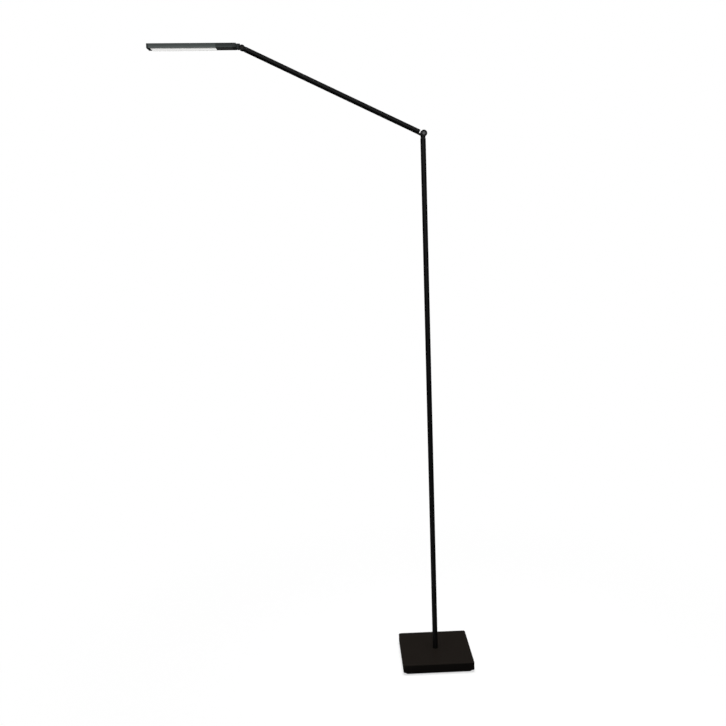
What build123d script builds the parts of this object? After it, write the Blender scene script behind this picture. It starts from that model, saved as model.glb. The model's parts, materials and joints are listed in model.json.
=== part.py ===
from build123d import *
from math import cos, radians, sin
import os

# LED pharmacy floor lamp. Millimetres, +Z up. The origin is the middle of the base's underside, where the
# lamp stands on the floor. The arm and head reach towards -X, and the user reads the lamp from -Y.

# Base
BASE_SIDE = 190.0
BASE_HEIGHT = 27.0
BASE_CORNER = 6.0
COVER_BOTTOM = 6.5
COVER_WALL = 1.5
COVER_EDGE = 1.0
WEIGHT_GAP = 0.5
PAD_THICK = 1.5
PAD_INSET = 7.0
PLATE_INSET = 5.0
PLATE_CORNER = 6.0
BASE_SCREW_REACH = 70.0
BASE_SCREW_R = 2.0
BASE_SCREW_HEAD_R = 4.0
BASE_SCREW_LENGTH = 14.0
POCKET_R = 20.0
WEB_BOTTOM = 20.0
BASE_SCREW_SOCKET = 2.4
BASE_SCREW_TIP_ROOM = 1.0

# Tubes of the pole and the arm
TUBE_R = 7.0
TUBE_BORE_R = 5.8
PLUG_R = 5.75
SET_SCREW_R = 1.5
SET_SCREW_REACH = 6.8
SET_SCREW_TIP = 3.4
SET_SCREW_SOCKET = 1.5
SET_SCREW_SOCKET_DEPTH = 1.2
JOINT_HEIGHT = 720.0
COUPLER_HALF = 32.0

# Foot of the pole
STEM_R = 5.0
STEM_BOTTOM = 14.0
STEM_BORE_R = 2.6
SPIGOT_LENGTH = 50.0
FOOT_NUT_FLATS = 17.0
FOOT_NUT_HEIGHT = 4.5
FOOT_WASHER_R = 10.0
FOOT_WASHER_THICK = 1.2

# Power inlet in the base's rear wall
JACK_Z = 13.0
JACK_HALF = 5.5
JACK_REAR = 79.0
JACK_ROOM = 1.0
JACK_WIRING = 6.0
JACK_PIN_RECESS = 1.0
JACK_NOSE_R = 3.95
JACK_NOSE_END = 97.4
JACK_SOCKET_R = 2.75
JACK_SOCKET_DEPTH = 9.0
JACK_PIN_R = 1.0
JACK_NUT_R = 6.0
JACK_NUT_THICK = 1.8
LEAD_Z = 9.6
POLE_LEAD_R = 1.4
LEAD_ROOM = 1.2
LEAD_SETBACK = 0.5
LEAD_BEND_R = 4.4

# Elbow, at the top of the pole. Its pin lies along Y, a little behind the pole's axis.
ELBOW_X = 2.0
ELBOW_Z = 1424.7
ELBOW_DISC_R = 8.7
ELBOW_SLOT = 3.4
ELBOW_TONGUE = 2.9
ELBOW_HUB_R = 8.3
ELBOW_PIN_R = 2.5
ELBOW_HEAD_R = 4.3
ELBOW_HEAD_THICK = 1.9
ELBOW_NUT_FLATS = 8.0
ELBOW_NUT_HEIGHT = 2.0
ELBOW_SPRING_R = 4.4
ELBOW_SPRING_THICK = 0.5
ELBOW_WASHER_R = 6.5
SLOT_FLOOR = -13.5
FORK_FOOT = -16.2
BUSH_FLANGE = 0.7
BUSH_BORE_R = 4.55
BUSH_LENGTH = 30.0
SPIGOT_R = 4.5
SPIGOT_TAIL = 2.0
RING_THICK = 1.0
RING_DEPTH = 1.0
RING_GAP = 1.2
SWIVEL_RING_R = 5.4
FORK_BORE_R = 2.2

# Arm, at the angle in which the lamp is drawn. Its tube runs a little under the elbow's pin.
ARM_ANGLE = 26.6
ARM_LENGTH = 509.0
ARM_DROP = 2.3
ARM_TUBE_START = 12.4
ARM_TUBE_END = 495.0
ARM_PLUG = 30.0
TANG_SHOULDER = 1.0
TANG_TOP = -4.2
TANG_HEEL = 4.0
WIRE_HOLE_R = 1.2
WIRE_R = 0.9
WIRE_DROP = 6.6
WIRE_TAIL = 4.0
WIRE_STRAIGHT = 10.0
WIRE_CLIMB = 40.0
WIRE_BEND = 60.0

# Wrist, at the end of the arm. Its pin lies along Y.
WRIST_DISC_R = 7.5
WRIST_SLOT = 3.0
WRIST_TONGUE = 2.5
WRIST_HUB_R = 7.2
WRIST_PIN_R = 2.0
WRIST_HEAD_R = 4.2
WRIST_HEAD_THICK = 1.9
WRIST_NUT_FLATS = 7.0
WRIST_NUT_HEIGHT = 2.2
WRIST_WASHER_R = 6.0
WRIST_FLOOR = 8.7

# Fits
PIN_FIT = 0.05
WASHER_GAP = 0.05
SCREW_FIT = 0.1
RECESS_FIT = 0.2
STACK_FIT = 0.1

# Finish and cutting
EDGE = 0.4
LEAD_IN = 0.8
PIN_SOCKET_RATIO = 1.3
PIN_SOCKET_DEPTH = 1.2
NUT_CORNER_RATIO = 0.6
OVERCUT = 1.0

# Head, measured from the wrist's pin towards the tip
HEAD_ANGLE = 1.15
HEAD_RISE = 3.9
HEAD_WIDTH = 38.0
HEAD_THICK = 12.2
HEAD_EDGE = 1.2
HEAD_WALL = 1.6
HEAD_ROOF = 1.7
NECK_SEAT_R = 7.8
NECK_END = 13.7
NECK_WIDTH = 22.0
NECK_TOP = 9.2
NECK_TOP_REACH = 4.8
NECK_UNDER = -2.2
NECK_HEEL = (9.3, -3.9)
STUB_R = 3.0
STUB_END = 28.0
STUB_GROOVE = 0.6
NECK_RING_R = 4.1
NECK_RING_GAP = 0.8
NECK_RING_START = 25.15
CAP_START = 14.0
CAP_GROOVE = 16.6
CAP_GROOVE_SIZE = 0.7
CAP_PLUG = 3.5
CAP_EDGE = 0.8
SHELL_START = 23.0
CAP_PLUG_END = 25.0
PANEL_THICK = 1.6
PANEL_END = 65.0
DIFFUSER_END = 228.0
SHELL_END = 233.0
HEAD_END = 238.0
DIFFUSER_PROUD = 1.2
DIFFUSER_WALL = 1.5
DIFFUSER_EDGE = 0.6
RIB = 0.8
RIB_START = 26.0
RIB_END = 228.5
PART_FIT = 0.15
HEAD_SCREW_R = 1.1
HEAD_SCREW_HEAD_R = 2.0
HEAD_SCREW_BITE = 1.0
HEAD_SCREW_SOCKET_DEPTH = 0.8
HEAD_SCREW_XS = (60.0, 230.5)
HEAD_SCREW_SIDES = (-9.0, 9.0)

# Light and switch
LED_COUNT = 24
LED_MARGIN = 7.0
LED_BOARD_MARGIN = 2.0
LED_SIZE = (3.5, 2.8, 0.8)
LED_BOARD_WIDTH = 26.0
BOARD_THICK = 1.4
BUTTON_X = 45.0
BUTTON_R = 4.5
BUTTON_HOLE_R = 4.8
BUTTON_PROUD = 0.8
BUTTON_FLANGE_R = 5.8
BUTTON_FLANGE_THICK = 0.8
BUTTON_EDGE = 0.5
BUTTON_TRAVEL = 0.8
SWITCH_SIDE = 6.0
SWITCH_BODY = 1.6
SWITCH_HEIGHT = 2.0
SWITCH_STEM_R = 1.6
DIMMER_BOARD_START = 33.0
DIMMER_BOARD_HALF = 11.0
DIMMER_BOARD_THICK = 1.2
HEAD_LEAD_RISE = (30.5, 35.0)
HEAD_LEAD_END = 66.8
HEAD_LEAD_BEND = 2.0

MIN_Z = (Align.CENTER, Align.CENTER, Align.MIN)
ROOF_Z = HEAD_THICK / 2 - HEAD_ROOF
SOLE_Z = -HEAD_THICK / 2
CAVITY_WIDTH = HEAD_WIDTH - 2 * HEAD_WALL


# Primitives: a round bar along each axis, a block between two corners, and a hexagonal nut along Y or Z

def rod_z(radius, low, high, x=0.0, y=0.0):
    return Pos(x, y, low) * Cylinder(radius, high - low, align=MIN_Z)


def rod_x(radius, low, high, y=0.0, z=0.0):
    return Pos(low, y, z) * Rot(0, 90, 0) * Cylinder(radius, high - low, align=MIN_Z)


def rod_y(radius, low, high, x=0.0, z=0.0):
    return Pos(x, high, z) * Rot(90, 0, 0) * Cylinder(radius, high - low, align=MIN_Z)


def block(x_low, x_high, y_low, y_high, z_low, z_high):
    size = (x_high - x_low, y_high - y_low, z_high - z_low)
    return Pos(x_low, y_low, z_low) * Box(*size, align=(Align.MIN, Align.MIN, Align.MIN))


def slab(side, corner, low, high):
    return Pos(0, 0, low) * extrude(RectangleRounded(side, side, corner), high - low)


def hexagon(flats, height):
    return extrude(RegularPolygon(flats / 2, 6, major_radius=False), height)


def lead(points, bend, radius):
    """A round lead along straight runs joined by arcs."""
    route = FilletPolyline(*points, radius=bend)
    start = Plane(origin=route @ 0, z_dir=route % 0)
    return sweep(start * Circle(radius), path=route)


# Places: each moving frame has its own X along the arm or the head, and +Z on its upper side

def along(origin, angle):
    x_dir = (-cos(radians(angle)), 0, sin(radians(angle)))
    z_dir = (sin(radians(angle)), 0, cos(radians(angle)))
    return Plane(origin=origin, x_dir=x_dir, z_dir=z_dir)


def elbow_place():
    return Plane(origin=(ELBOW_X, 0, ELBOW_Z))


def arm_place():
    return along((ELBOW_X, 0, ELBOW_Z), ARM_ANGLE)


def wrist_place():
    pin = arm_place().from_local_coords(Vector(ARM_LENGTH, 0, -ARM_DROP))
    return along(pin, ARM_ANGLE)


def head_place():
    pin = arm_place().from_local_coords(Vector(ARM_LENGTH, 0, -ARM_DROP))
    return along(pin, HEAD_ANGLE)


def head_middle_place():
    middle = head_place().from_local_coords(Vector(0, 0, HEAD_RISE))
    return along(middle, HEAD_ANGLE)


# Base

def base_pad():
    return slab(BASE_SIDE - 2 * PAD_INSET, PLATE_CORNER, 0, PAD_THICK)


def base_screw_places():
    reach = BASE_SCREW_REACH
    return [(x, y) for x in (-reach, reach) for y in (-reach, reach)]


def base_plate():
    side = BASE_SIDE - 2 * PLATE_INSET
    plate = block(-side / 2, side / 2, -side / 2, side / 2, PAD_THICK, COVER_BOTTOM)
    plate = chamfer(plate.edges().filter_by(Axis.Z), PLATE_CORNER)
    plate = chamfer(plate.faces().sort_by(Axis.Z)[0].edges(), EDGE)
    for x, y in base_screw_places():
        plate -= rod_z(BASE_SCREW_R + SCREW_FIT, PAD_THICK, COVER_BOTTOM, x, y)
        plate -= Pos(x, y, PAD_THICK) * countersink(BASE_SCREW_HEAD_R + SCREW_FIT, BASE_SCREW_R + SCREW_FIT)
    return plate


def countersink(head_radius, shank_radius):
    return Cone(head_radius, shank_radius, head_radius - shank_radius, align=MIN_Z)


def base_screws():
    screws = []
    for x, y in base_screw_places():
        screw = Pos(x, y, PAD_THICK) * countersink(BASE_SCREW_HEAD_R, BASE_SCREW_R)
        screw += rod_z(BASE_SCREW_R, PAD_THICK, PAD_THICK + BASE_SCREW_LENGTH, x, y)
        screw -= Pos(x, y, PAD_THICK) * hexagon(BASE_SCREW_SOCKET, BASE_SCREW_R)
        screws.append(screw)
    return Compound(children=screws)


def base_weight():
    side = BASE_SIDE - 2 * COVER_WALL - 2 * WEIGHT_GAP
    top = BASE_HEIGHT - COVER_WALL
    bottom = COVER_BOTTOM
    weight = slab(side, BASE_CORNER - COVER_WALL, bottom, top)
    weight -= rod_z(POCKET_R, bottom, WEB_BOTTOM)
    weight -= rod_z(STEM_R + RECESS_FIT, WEB_BOTTOM, top)
    channel_half = POLE_LEAD_R + LEAD_ROOM
    weight -= block(0, JACK_REAR, -channel_half, channel_half, bottom, LEAD_Z + channel_half)
    pocket_half = JACK_HALF + JACK_ROOM
    pocket_start = JACK_REAR - JACK_WIRING
    weight -= block(pocket_start, side / 2, -pocket_half, pocket_half, bottom, JACK_Z + pocket_half)
    screw_end = PAD_THICK + BASE_SCREW_LENGTH + BASE_SCREW_TIP_ROOM
    for x, y in base_screw_places():
        weight -= rod_z(BASE_SCREW_R + PIN_FIT, bottom, screw_end, x, y)
    return weight


def base_cover():
    cover = slab(BASE_SIDE, BASE_CORNER, COVER_BOTTOM, BASE_HEIGHT)
    cover = fillet(cover.faces().sort_by(Axis.Z)[-1].edges(), COVER_EDGE)
    inner_side = BASE_SIDE - 2 * COVER_WALL
    cover -= slab(inner_side, BASE_CORNER - COVER_WALL, COVER_BOTTOM, BASE_HEIGHT - COVER_WALL)
    cover -= rod_z(STEM_R + SCREW_FIT, COVER_BOTTOM, BASE_HEIGHT)
    return cover - rod_x(JACK_NOSE_R + SCREW_FIT, JACK_REAR, JACK_NOSE_END, 0, JACK_Z)


def dc_jack():
    wall_inside = BASE_SIDE / 2 - COVER_WALL
    jack = block(JACK_REAR, wall_inside, -JACK_HALF, JACK_HALF, JACK_Z - JACK_HALF, JACK_Z + JACK_HALF)
    jack += rod_x(JACK_NOSE_R, wall_inside, JACK_NOSE_END, 0, JACK_Z)
    floor = JACK_NOSE_END - JACK_SOCKET_DEPTH
    jack -= rod_x(JACK_SOCKET_R, floor, JACK_NOSE_END, 0, JACK_Z)
    jack += rod_x(JACK_PIN_R, floor, JACK_NOSE_END - JACK_PIN_RECESS, 0, JACK_Z)
    return jack


def jack_nut():
    face = BASE_SIDE / 2
    nut = rod_x(JACK_NUT_R, face, face + JACK_NUT_THICK, 0, JACK_Z)
    nut = chamfer(nut.faces().sort_by(Axis.X)[-1].edges(), EDGE)
    return nut - rod_x(JACK_NOSE_R + PIN_FIT, face, face + JACK_NUT_THICK, 0, JACK_Z)


# Foot of the pole

def foot_spigot():
    spigot = rod_z(STEM_R, STEM_BOTTOM, BASE_HEIGHT)
    top = BASE_HEIGHT + SPIGOT_LENGTH
    spigot += rod_z(PLUG_R, BASE_HEIGHT, top)
    spigot = chamfer(spigot.faces().sort_by(Axis.Z)[-1].edges(), LEAD_IN)
    spigot -= rod_z(STEM_BORE_R, STEM_BOTTOM, top)
    return spigot - set_screw_hole_y(SPIGOT_LENGTH / 3 + BASE_HEIGHT)


def set_screw_hole_y(height):
    return rod_y(SET_SCREW_R + PIN_FIT, SET_SCREW_TIP, TUBE_R + OVERCUT, 0, height)


def set_screw_y(height):
    screw = rod_y(SET_SCREW_R, SET_SCREW_TIP, SET_SCREW_REACH, 0, height)
    socket = hexagon(SET_SCREW_SOCKET, SET_SCREW_SOCKET_DEPTH)
    return screw - Pos(0, SET_SCREW_REACH, height) * Rot(90, 0, 0) * socket


def foot_set_screw():
    return set_screw_y(SPIGOT_LENGTH / 3 + BASE_HEIGHT)


def foot_washer():
    washer = rod_z(FOOT_WASHER_R, WEB_BOTTOM - FOOT_WASHER_THICK, WEB_BOTTOM)
    return washer - rod_z(STEM_R + RECESS_FIT, WEB_BOTTOM - FOOT_WASHER_THICK, WEB_BOTTOM)


def foot_nut():
    top = WEB_BOTTOM - FOOT_WASHER_THICK
    nut = Pos(0, 0, top - FOOT_NUT_HEIGHT) * hexagon(FOOT_NUT_FLATS, FOOT_NUT_HEIGHT)
    return nut - rod_z(STEM_R + PIN_FIT, top - FOOT_NUT_HEIGHT, top)


# Pole

def pole_top():
    return ELBOW_Z + FORK_FOOT - BUSH_FLANGE - PIN_FIT


def pole_section(low, high, screw_heights):
    section = rod_z(TUBE_R, low, high) - rod_z(TUBE_BORE_R, low, high)
    for height in screw_heights:
        section -= set_screw_hole_y(height)
    return section


def coupler_screw_heights():
    return (JOINT_HEIGHT - COUPLER_HALF / 2, JOINT_HEIGHT + COUPLER_HALF / 2)


def lower_pole():
    heights = (SPIGOT_LENGTH / 3 + BASE_HEIGHT, coupler_screw_heights()[0])
    return pole_section(BASE_HEIGHT, JOINT_HEIGHT, heights)


def upper_pole():
    return pole_section(JOINT_HEIGHT, pole_top(), (coupler_screw_heights()[1],))


def pole_coupler():
    low = JOINT_HEIGHT - COUPLER_HALF
    high = JOINT_HEIGHT + COUPLER_HALF
    coupler = rod_z(PLUG_R, low, high)
    coupler = chamfer(coupler.edges().filter_by(GeomType.CIRCLE), LEAD_IN)
    coupler -= rod_z(STEM_BORE_R, low, high)
    for height in coupler_screw_heights():
        coupler -= set_screw_hole_y(height)
    return coupler


def coupler_set_screws():
    return Compound(children=[set_screw_y(height) for height in coupler_screw_heights()])


def swivel_bush():
    top = pole_top()
    bush = rod_z(PLUG_R, top - BUSH_LENGTH, top)
    bush += rod_z(TUBE_R, top, top + BUSH_FLANGE)
    return bush - rod_z(BUSH_BORE_R, top - BUSH_LENGTH, top + BUSH_FLANGE)


def pole_lead():
    top = ELBOW_Z + SLOT_FLOOR - LEAD_SETBACK
    points = [(JACK_REAR, 0, LEAD_Z), (0, 0, LEAD_Z), (0, 0, top)]
    return lead(points, LEAD_BEND_R, POLE_LEAD_R)


# Elbow. These are drawn about the elbow's pin, and the pole's axis lies at x = -ELBOW_X.

def disc(radius):
    """A cheek pair's round end, with its rims broken."""
    cheeks = rod_y(radius, -TUBE_R, TUBE_R)
    return chamfer(cheeks.edges().filter_by(GeomType.CIRCLE), EDGE)


def elbow_fork():
    fork = rod_z(TUBE_R, FORK_FOOT, 0, -ELBOW_X) + disc(ELBOW_DISC_R)
    reach = ELBOW_DISC_R + OVERCUT
    fork -= block(-reach, reach, -ELBOW_SLOT, ELBOW_SLOT, SLOT_FLOOR, reach)
    fork += rod_z(SPIGOT_R, fork_spigot_end(), FORK_FOOT, -ELBOW_X)
    fork -= rod_z(FORK_BORE_R, fork_spigot_end(), SLOT_FLOOR, -ELBOW_X)
    groove = rod_z(SPIGOT_R + OVERCUT, ring_low(), ring_low() + RING_THICK, -ELBOW_X)
    groove -= rod_z(SPIGOT_R - RING_DEPTH, ring_low(), ring_low() + RING_THICK, -ELBOW_X)
    fork -= groove
    fork -= rod_y(ELBOW_PIN_R + SCREW_FIT, -TUBE_R, TUBE_R)
    fork -= rod_y(ELBOW_HEAD_R + RECESS_FIT, -TUBE_R, -TUBE_R + ELBOW_HEAD_THICK + STACK_FIT)
    return fork - rod_y(ELBOW_NUT_FLATS * NUT_CORNER_RATIO, elbow_seat(), TUBE_R)


def ring_low():
    return FORK_FOOT - BUSH_FLANGE - BUSH_LENGTH - RING_THICK - 3 * PIN_FIT


def fork_spigot_end():
    return ring_low() - SPIGOT_TAIL


def swivel_ring():
    low = ring_low()
    ring = rod_z(SWIVEL_RING_R, low, low + RING_THICK, -ELBOW_X)
    ring -= rod_z(SPIGOT_R - RING_DEPTH, low, low + RING_THICK, -ELBOW_X)
    gap = block(0, TUBE_R, -RING_GAP, RING_GAP, low, low + RING_THICK)
    return ring - Pos(-ELBOW_X, 0, 0) * gap


def pin_bolt(pin_radius, head_radius, head_thick, far_end):
    """A low-head bolt along Y. Its head lies on the -Y side, just inside the fork's face."""
    face = -TUBE_R + STACK_FIT
    bolt = rod_y(head_radius, face, face + head_thick)
    bolt = chamfer(bolt.faces().sort_by(Axis.Y)[0].edges(), EDGE)
    bolt += rod_y(pin_radius, face + head_thick, far_end)
    socket = hexagon(pin_radius * PIN_SOCKET_RATIO, PIN_SOCKET_DEPTH)
    return bolt - Pos(0, face + PIN_SOCKET_DEPTH, 0) * Rot(90, 0, 0) * socket


def washer_pair(radius, bore, inside, outside):
    washers = []
    for side in (-1, 1):
        low, high = sorted((side * inside, side * outside))
        washers.append(rod_y(radius, low, high) - rod_y(bore, low, high))
    return Compound(children=washers)


def pin_nut(flats, height, pin_radius, seat):
    nut = Pos(0, seat + height, 0) * Rot(90, 0, 0) * hexagon(flats, height)
    corners = rod_y(flats * NUT_CORNER_RATIO - PIN_FIT, seat, seat + height)
    nut &= chamfer(corners.edges().filter_by(GeomType.CIRCLE), EDGE)
    return nut - rod_y(pin_radius + PIN_FIT, seat, seat + height)


def elbow_bolt():
    return pin_bolt(ELBOW_PIN_R, ELBOW_HEAD_R, ELBOW_HEAD_THICK, TUBE_R - 2 * STACK_FIT)


def elbow_washers():
    return washer_pair(ELBOW_WASHER_R, ELBOW_PIN_R + SCREW_FIT, ELBOW_TONGUE + WASHER_GAP, ELBOW_SLOT)


def elbow_seat():
    return TUBE_R - ELBOW_NUT_HEIGHT - ELBOW_SPRING_THICK - STACK_FIT


def elbow_spring_washer():
    seat = elbow_seat()
    washer = rod_y(ELBOW_SPRING_R, seat, seat + ELBOW_SPRING_THICK)
    return washer - rod_y(ELBOW_PIN_R + PIN_FIT, seat, seat + ELBOW_SPRING_THICK)


def elbow_nut():
    return pin_nut(ELBOW_NUT_FLATS, ELBOW_NUT_HEIGHT, ELBOW_PIN_R, elbow_seat() + ELBOW_SPRING_THICK)


# Arm. These are drawn with X along the tube from the elbow's pin, and the tube's axis at z = -ARM_DROP.

def elbow_tang():
    tube_floor = -ARM_DROP - TUBE_R
    outline = Polyline(
        (ARM_TUBE_START - TANG_SHOULDER / 2, tube_floor),
        (TANG_HEEL, tube_floor),
        (0.0, -ELBOW_HUB_R),
        (0.0, TANG_TOP / 2),
        (ELBOW_HUB_R, TANG_TOP),
        (ARM_TUBE_START - TANG_SHOULDER / 2, TANG_TOP),
        close=True,
    )
    profile = Plane.XZ * make_face(outline)
    tang = extrude(profile, ELBOW_TONGUE, both=True)
    tang += rod_y(ELBOW_HUB_R, -ELBOW_TONGUE, ELBOW_TONGUE)
    shoulder = rod_x(TUBE_R, ARM_TUBE_START - TANG_SHOULDER, ARM_TUBE_START, 0, -ARM_DROP)
    tang += chamfer(shoulder.faces().sort_by(Axis.X)[0].edges(), EDGE)
    tang += rod_x(PLUG_R, ARM_TUBE_START, ARM_TUBE_START + ARM_PLUG, 0, -ARM_DROP)
    tang -= rod_y(ELBOW_PIN_R + PIN_FIT, -ELBOW_TONGUE, ELBOW_TONGUE)
    tang -= rod_x(WIRE_HOLE_R, -ELBOW_HUB_R, ARM_TUBE_START + ARM_PLUG, 0, -WIRE_DROP)
    return tang - arm_screw_hole(arm_screw_places()[0])


def arm_screw_places():
    return (ARM_TUBE_START + ARM_PLUG / 2, ARM_TUBE_END - ARM_PLUG / 2)


def arm_screw_hole(x):
    """The arm's set screws come in from its far side, which is -Y in the arm's own frame."""
    return rod_y(SET_SCREW_R + PIN_FIT, -TUBE_R - OVERCUT, -SET_SCREW_TIP, x, -ARM_DROP)


def arm_tube():
    tube = rod_x(TUBE_R, ARM_TUBE_START, ARM_TUBE_END, 0, -ARM_DROP)
    tube -= rod_x(TUBE_BORE_R, ARM_TUBE_START, ARM_TUBE_END, 0, -ARM_DROP)
    for x in arm_screw_places():
        tube -= arm_screw_hole(x)
    return tube


def arm_set_screws():
    screws = []
    for x in arm_screw_places():
        screw = rod_y(SET_SCREW_R, -SET_SCREW_REACH, -SET_SCREW_TIP, x, -ARM_DROP)
        socket = hexagon(SET_SCREW_SOCKET, SET_SCREW_SOCKET_DEPTH)
        screws.append(screw - Pos(x, -SET_SCREW_REACH, -ARM_DROP) * Rot(-90, 0, 0) * socket)
    return Compound(children=screws)


def arm_lead():
    run_out = ARM_TUBE_START + ARM_PLUG + WIRE_STRAIGHT
    points = [
        (-WIRE_TAIL, 0, -WIRE_DROP),
        (run_out, 0, -WIRE_DROP),
        (run_out + WIRE_CLIMB, 0, -ARM_DROP),
        (ARM_LENGTH - WRIST_FLOOR - LEAD_SETBACK, 0, -ARM_DROP),
    ]
    return lead(points, WIRE_BEND, WIRE_R)


# Wrist. These are drawn about the wrist's pin, with X along the arm towards the head.

def wrist_fork():
    tube_end = ARM_TUBE_END - ARM_LENGTH
    fork = rod_x(TUBE_R, tube_end, 0) + disc(WRIST_DISC_R)
    reach = WRIST_DISC_R + OVERCUT
    fork -= block(-WRIST_FLOOR, reach, -WRIST_SLOT, WRIST_SLOT, -reach, reach)
    fork += rod_x(PLUG_R, tube_end - ARM_PLUG, tube_end)
    fork -= rod_x(WIRE_HOLE_R, tube_end - ARM_PLUG, 0)
    fork -= rod_y(WRIST_PIN_R + SCREW_FIT, -TUBE_R, TUBE_R)
    fork -= rod_y(WRIST_HEAD_R + RECESS_FIT, TUBE_R - WRIST_HEAD_THICK - STACK_FIT, TUBE_R)
    fork -= rod_y(WRIST_NUT_FLATS * NUT_CORNER_RATIO, -TUBE_R, -TUBE_R + WRIST_NUT_HEIGHT + STACK_FIT)
    screw_x = arm_screw_places()[1] - ARM_LENGTH
    return fork - rod_y(SET_SCREW_R + PIN_FIT, -TUBE_R - OVERCUT, -SET_SCREW_TIP, screw_x)


def wrist_bolt():
    bolt = pin_bolt(WRIST_PIN_R, WRIST_HEAD_R, WRIST_HEAD_THICK, TUBE_R - 2 * STACK_FIT)
    return mirror(bolt, Plane.XZ)


def wrist_washers():
    return washer_pair(WRIST_WASHER_R, WRIST_PIN_R + SCREW_FIT, WRIST_TONGUE + WASHER_GAP, WRIST_SLOT)


def wrist_nut():
    nut = pin_nut(WRIST_NUT_FLATS, WRIST_NUT_HEIGHT, WRIST_PIN_R, TUBE_R - WRIST_NUT_HEIGHT - STACK_FIT)
    return mirror(nut, Plane.XZ)


# Neck. It is drawn about the wrist's pin, with X along the head. The head rolls about its stub.

def neck_body():
    """The block behind the head. Its front is hollowed round the arm's disc, which turns in it."""
    outline = Polyline(
        (NECK_END, NECK_UNDER),
        (NECK_END, NECK_TOP),
        (NECK_TOP_REACH, NECK_TOP),
        (0.0, 0.0),
        NECK_HEEL,
        close=True,
    )
    body = extrude(Plane.XZ * make_face(outline), NECK_WIDTH / 2, both=True)
    sides = body.faces().filter_by(Axis.Y)
    body = chamfer(sides[0].edges() + sides[1].edges(), EDGE)
    return body - rod_y(NECK_SEAT_R, -NECK_WIDTH, NECK_WIDTH)


def head_neck():
    neck = neck_body() + rod_y(WRIST_HUB_R, -WRIST_TONGUE, WRIST_TONGUE)
    neck += block(0, NECK_SEAT_R + EDGE, -WRIST_TONGUE, WRIST_TONGUE, NECK_UNDER, WRIST_HUB_R)
    neck += rod_x(STUB_R, NECK_END, STUB_END, 0, HEAD_RISE)
    neck -= rod_x(WIRE_HOLE_R, -WRIST_HUB_R, STUB_END, 0, HEAD_RISE)
    neck -= rod_y(WRIST_PIN_R + PIN_FIT, -WRIST_TONGUE, WRIST_TONGUE)
    ring_end = NECK_RING_START + RING_THICK
    groove = rod_x(STUB_R + OVERCUT, NECK_RING_START, ring_end, 0, HEAD_RISE)
    groove -= rod_x(STUB_R - STUB_GROOVE, NECK_RING_START, ring_end, 0, HEAD_RISE)
    return neck - groove


def neck_ring():
    end = NECK_RING_START + RING_THICK
    ring = rod_x(NECK_RING_R, NECK_RING_START, end, 0, HEAD_RISE)
    ring -= rod_x(STUB_R - STUB_GROOVE, NECK_RING_START, end, 0, HEAD_RISE)
    gap = block(NECK_RING_START, end, -NECK_RING_GAP, NECK_RING_GAP, HEAD_RISE, HEAD_RISE + NECK_RING_R)
    return ring - gap


# Head. These are drawn about the middle of the head's thickness, with X along the head from above the pin.

def head_section(x_low, x_high):
    outline = Plane.YZ.offset(x_low) * RectangleRounded(HEAD_WIDTH, HEAD_THICK, HEAD_EDGE)
    return extrude(outline, x_high - x_low)


def cavity(x_low, x_high, inset=0.0):
    half = CAVITY_WIDTH / 2 - inset
    return block(x_low, x_high, -half, half, SOLE_Z + PANEL_THICK + inset, ROOF_Z - inset)


def mouth(x_low, x_high, inset=0.0):
    half = CAVITY_WIDTH / 2 - inset
    return block(x_low, x_high, -half, half, SOLE_Z, SOLE_Z + PANEL_THICK)


def head_shell():
    shell = head_section(SHELL_START, SHELL_END)
    shell -= cavity(SHELL_START, SHELL_END) + mouth(SHELL_START, SHELL_END)
    half = CAVITY_WIDTH / 2
    rib_low = SOLE_Z + PANEL_THICK + PART_FIT
    for side in (-1, 1):
        y_low, y_high = sorted((side * half, side * (half - RIB)))
        shell += block(RIB_START, RIB_END, y_low, y_high, rib_low, rib_low + RIB)
    for x in HEAD_SCREW_XS:
        for y in HEAD_SCREW_SIDES:
            shell -= rod_z(HEAD_SCREW_R + PIN_FIT, SOLE_Z, ROOF_Z + HEAD_SCREW_BITE, x, y)
    return shell


def head_tip_cap():
    cap = head_section(SHELL_END, HEAD_END)
    cap = fillet(cap.faces().sort_by(Axis.X)[-1].edges(), CAP_EDGE)
    cap += mouth(DIFFUSER_END + PART_FIT, SHELL_END, PART_FIT)
    cap += cavity(SHELL_END - CAP_PLUG, SHELL_END, PART_FIT)
    for y in HEAD_SCREW_SIDES:
        cap -= head_screw_hole(HEAD_SCREW_XS[1], y)
    return cap


def head_screw_hole(x, y):
    hole = Pos(x, y, SOLE_Z) * countersink(HEAD_SCREW_HEAD_R + PIN_FIT, HEAD_SCREW_R + PIN_FIT)
    return hole + rod_z(HEAD_SCREW_R + PIN_FIT, SOLE_Z, ROOF_Z + HEAD_SCREW_BITE, x, y)


def head_rear_cap():
    cap = head_section(CAP_START, SHELL_START)
    cap = chamfer(cap.faces().sort_by(Axis.X)[0].edges(), EDGE)
    groove = head_section(CAP_GROOVE, CAP_GROOVE + CAP_GROOVE_SIZE)
    width = HEAD_WIDTH - 2 * CAP_GROOVE_SIZE
    thick = HEAD_THICK - 2 * CAP_GROOVE_SIZE
    core = Plane.YZ.offset(CAP_GROOVE) * RectangleRounded(width, thick, HEAD_EDGE)
    cap -= groove - extrude(core, CAP_GROOVE_SIZE)
    cap += cavity(SHELL_START, CAP_PLUG_END, PART_FIT)
    return cap - rod_x(STUB_R + PIN_FIT, CAP_START, CAP_PLUG_END)


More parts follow.
